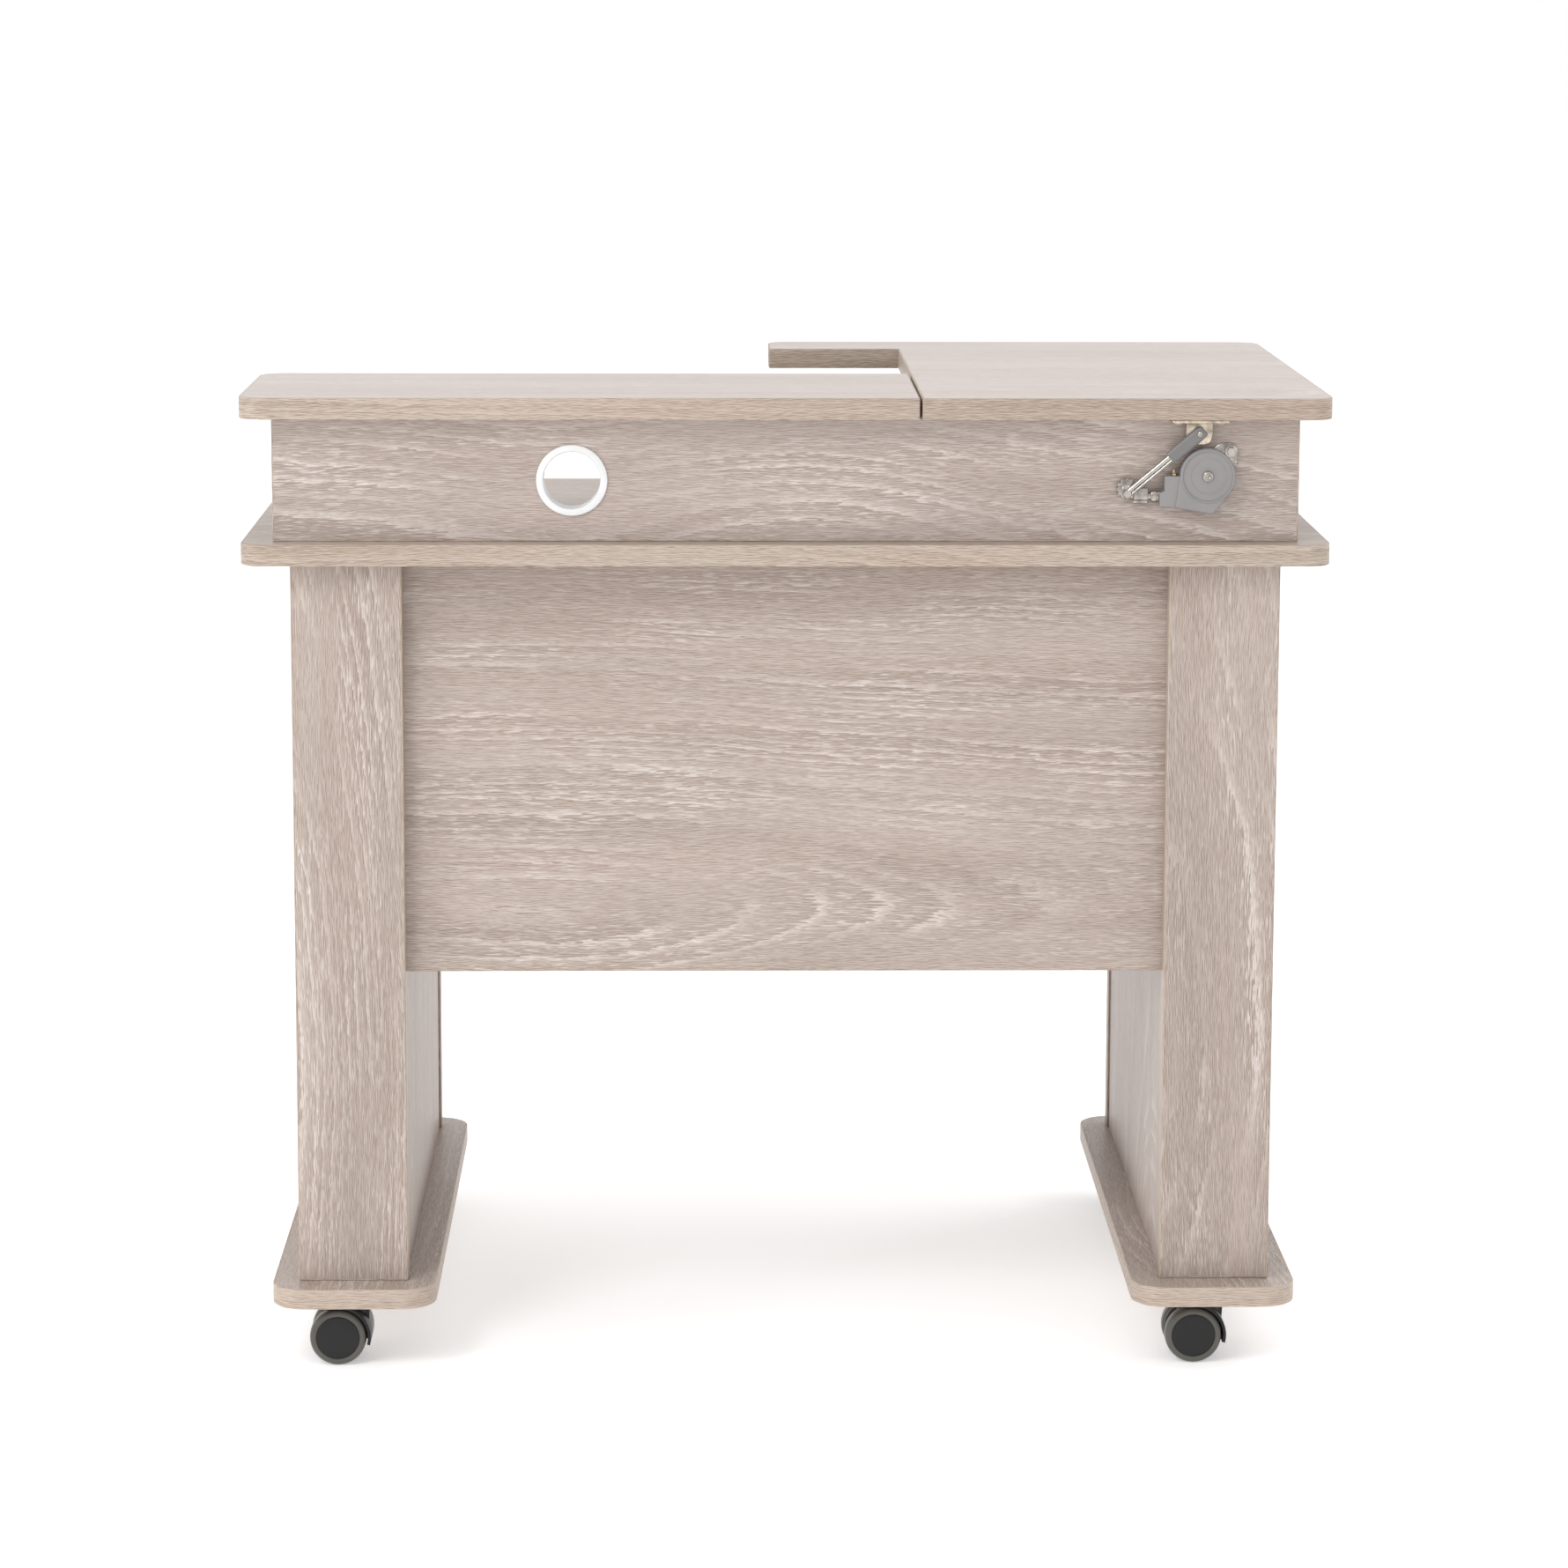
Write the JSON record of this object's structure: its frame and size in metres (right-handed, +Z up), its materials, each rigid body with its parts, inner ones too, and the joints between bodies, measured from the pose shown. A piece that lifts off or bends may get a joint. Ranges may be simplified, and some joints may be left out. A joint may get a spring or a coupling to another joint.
{
  "type": "sewing table",
  "caption": "Sewing table on twin-wheel casters with box legs, a fixed rear top and an L-shaped hinged lid held by a side stay over a shallow open machine box.",
  "frame": {"origin": "on the floor, at the middle of the footprint of the foot boards", "axes": "+Z up; +X along the table's width towards the lid's hinges; +Y towards the user, with the apron, the cable grommet and the lid stay on the -Y side"},
  "size_m": [0.9, 0.572, 0.825],
  "materials": {
    "top_laminate": "smooth light oak melamine laminate on particle board",
    "board_laminate": "smooth light oak melamine laminate on particle board",
    "panel_laminate": "light oak laminate with the grain running level",
    "leg_laminate": "light oak laminate with the grain running upright",
    "white_plastic": "glossy white moulded plastic",
    "grey_plastic": "satin grey moulded plastic",
    "sleeve_plastic": "satin grey moulded plastic",
    "nickel": "bright nickel plate",
    "chrome": "polished chrome plate",
    "bracket_steel": "satin plated steel",
    "brass": "yellow passivated screw",
    "zinc": "bright zinc plate",
    "black_plastic": "black moulded nylon",
    "wheel_tread": "dark grey soft tread over a black nylon wheel",
    "hub_cap": "black moulded nylon cap"
  },
  "bodies": {
    "table": {"top_rear": "top_laminate", "lower_board": "board_laminate", "foot_left": "board_laminate", "foot_right": "board_laminate", "apron": "panel_laminate", "box_end_left": "panel_laminate", "box_end_right": "panel_laminate", "box_divider": "panel_laminate", "modesty_panel": "panel_laminate", "leg_left_back": "leg_laminate", "leg_left_front": "leg_laminate", "leg_left_inner": "leg_laminate", "leg_left_outer": "leg_laminate", "leg_right_back": "leg_laminate", "leg_right_front": "leg_laminate", "leg_right_inner": "leg_laminate", "leg_right_outer": "leg_laminate", "grommet": "white_plastic", "foot_screws": "zinc", "leg_screws": "zinc", "caster_screws": "zinc", "hinge_leaves_box": "zinc", "hinge_pins": "zinc", "hinge_screws": "zinc", "stay_plate": "nickel", "stay_bolt": "nickel", "stay_pivot_screw": "nickel", "caster_bl_mount": "zinc", "caster_br_mount": "zinc", "caster_fl_mount": "zinc", "caster_fr_mount": "zinc"},
    "lid": {"top_lid": "top_laminate", "hinge_leaves_lid": "zinc", "lid_screws": "zinc", "stay_lid_bracket": "bracket_steel", "stay_rivet": "nickel"},
    "stay_arm": {"stay_housing": "grey_plastic", "stay_block": "grey_plastic", "stay_adjuster": "brass", "stay_plunger": "nickel", "stay_knee": "nickel"},
    "stay_link": {"stay_rod": "chrome", "stay_sleeve": "sleeve_plastic"},
    "caster_bl": {"caster_bl_hood": "black_plastic", "caster_bl_axle": "zinc"},
    "caster_bl_wheel_a": {"caster_bl_wheel_a": "wheel_tread"},
    "caster_bl_wheel_b": {"caster_bl_wheel_b": "wheel_tread"},
    "caster_br": {"caster_br_hood": "black_plastic", "caster_br_axle": "zinc"},
    "caster_br_wheel_a": {"caster_br_wheel_a": "wheel_tread"},
    "caster_br_wheel_b": {"caster_br_wheel_b": "wheel_tread"},
    "caster_fl": {"caster_fl_hood": "black_plastic", "caster_fl_axle": "zinc"},
    "caster_fl_wheel_a": {"caster_fl_wheel_a": "wheel_tread"},
    "caster_fl_wheel_b": {"caster_fl_wheel_b": "wheel_tread"},
    "caster_fr": {"caster_fr_hood": "black_plastic", "caster_fr_axle": "zinc"},
    "caster_fr_wheel_a": {"caster_fr_wheel_a": "wheel_tread"},
    "caster_fr_wheel_b": {"caster_fr_wheel_b": "wheel_tread"}
  },
  "joints": [
    {"name": "lid_hinge", "type": "hinge", "parent": "table", "child": "lid", "pos_m": [0.427, -0.0075, 0.804], "axis": [0, 1, 0], "range_deg": [0, 85]},
    {"name": "stay_arm_pivot", "type": "hinge", "parent": "table", "child": "stay_arm", "pos_m": [0.347, -0.266, 0.76], "axis": [0, 1, 0], "range_deg": [-1, 126]},
    {"name": "stay_link_pivot", "type": "hinge", "parent": "lid", "child": "stay_link", "pos_m": [0.34, -0.2685, 0.795], "axis": [0, 1, 0], "range_deg": [-106, 1]},
    {"name": "back_left_caster_swivel", "type": "hinge", "parent": "table", "child": "caster_bl", "pos_m": [-0.363, -0.238, 0.045], "axis": [0, 0, 1], "continuous": true},
    {"name": "back_left_wheel_a_spin", "type": "hinge", "parent": "caster_bl", "child": "caster_bl_wheel_a", "pos_m": [-0.378, -0.25225, 0.024], "axis": [0, 1, 0], "continuous": true},
    {"name": "back_left_wheel_b_spin", "type": "hinge", "parent": "caster_bl", "child": "caster_bl_wheel_b", "pos_m": [-0.378, -0.22375, 0.024], "axis": [0, 1, 0], "continuous": true},
    {"name": "back_right_caster_swivel", "type": "hinge", "parent": "table", "child": "caster_br", "pos_m": [0.363, -0.238, 0.045], "axis": [0, 0, 1], "continuous": true},
    {"name": "back_right_wheel_a_spin", "type": "hinge", "parent": "caster_br", "child": "caster_br_wheel_a", "pos_m": [0.348, -0.25225, 0.024], "axis": [0, 1, 0], "continuous": true},
    {"name": "back_right_wheel_b_spin", "type": "hinge", "parent": "caster_br", "child": "caster_br_wheel_b", "pos_m": [0.348, -0.22375, 0.024], "axis": [0, 1, 0], "continuous": true},
    {"name": "front_left_caster_swivel", "type": "hinge", "parent": "table", "child": "caster_fl", "pos_m": [-0.363, 0.238, 0.045], "axis": [0, 0, 1], "continuous": true},
    {"name": "front_left_wheel_a_spin", "type": "hinge", "parent": "caster_fl", "child": "caster_fl_wheel_a", "pos_m": [-0.378, 0.22375, 0.024], "axis": [0, 1, 0], "continuous": true},
    {"name": "front_left_wheel_b_spin", "type": "hinge", "parent": "caster_fl", "child": "caster_fl_wheel_b", "pos_m": [-0.378, 0.25225, 0.024], "axis": [0, 1, 0], "continuous": true},
    {"name": "front_right_caster_swivel", "type": "hinge", "parent": "table", "child": "caster_fr", "pos_m": [0.363, 0.238, 0.045], "axis": [0, 0, 1], "continuous": true},
    {"name": "front_right_wheel_a_spin", "type": "hinge", "parent": "caster_fr", "child": "caster_fr_wheel_a", "pos_m": [0.348, 0.22375, 0.024], "axis": [0, 1, 0], "continuous": true},
    {"name": "front_right_wheel_b_spin", "type": "hinge", "parent": "caster_fr", "child": "caster_fr_wheel_b", "pos_m": [0.348, 0.25225, 0.024], "axis": [0, 1, 0], "continuous": true}
  ],
  "couplings": [
    {"joint": "stay_arm_pivot", "follows": "lid_hinge", "ratio": 1.458},
    {"joint": "stay_link_pivot", "follows": "lid_hinge", "ratio": -1.2281}
  ]
}
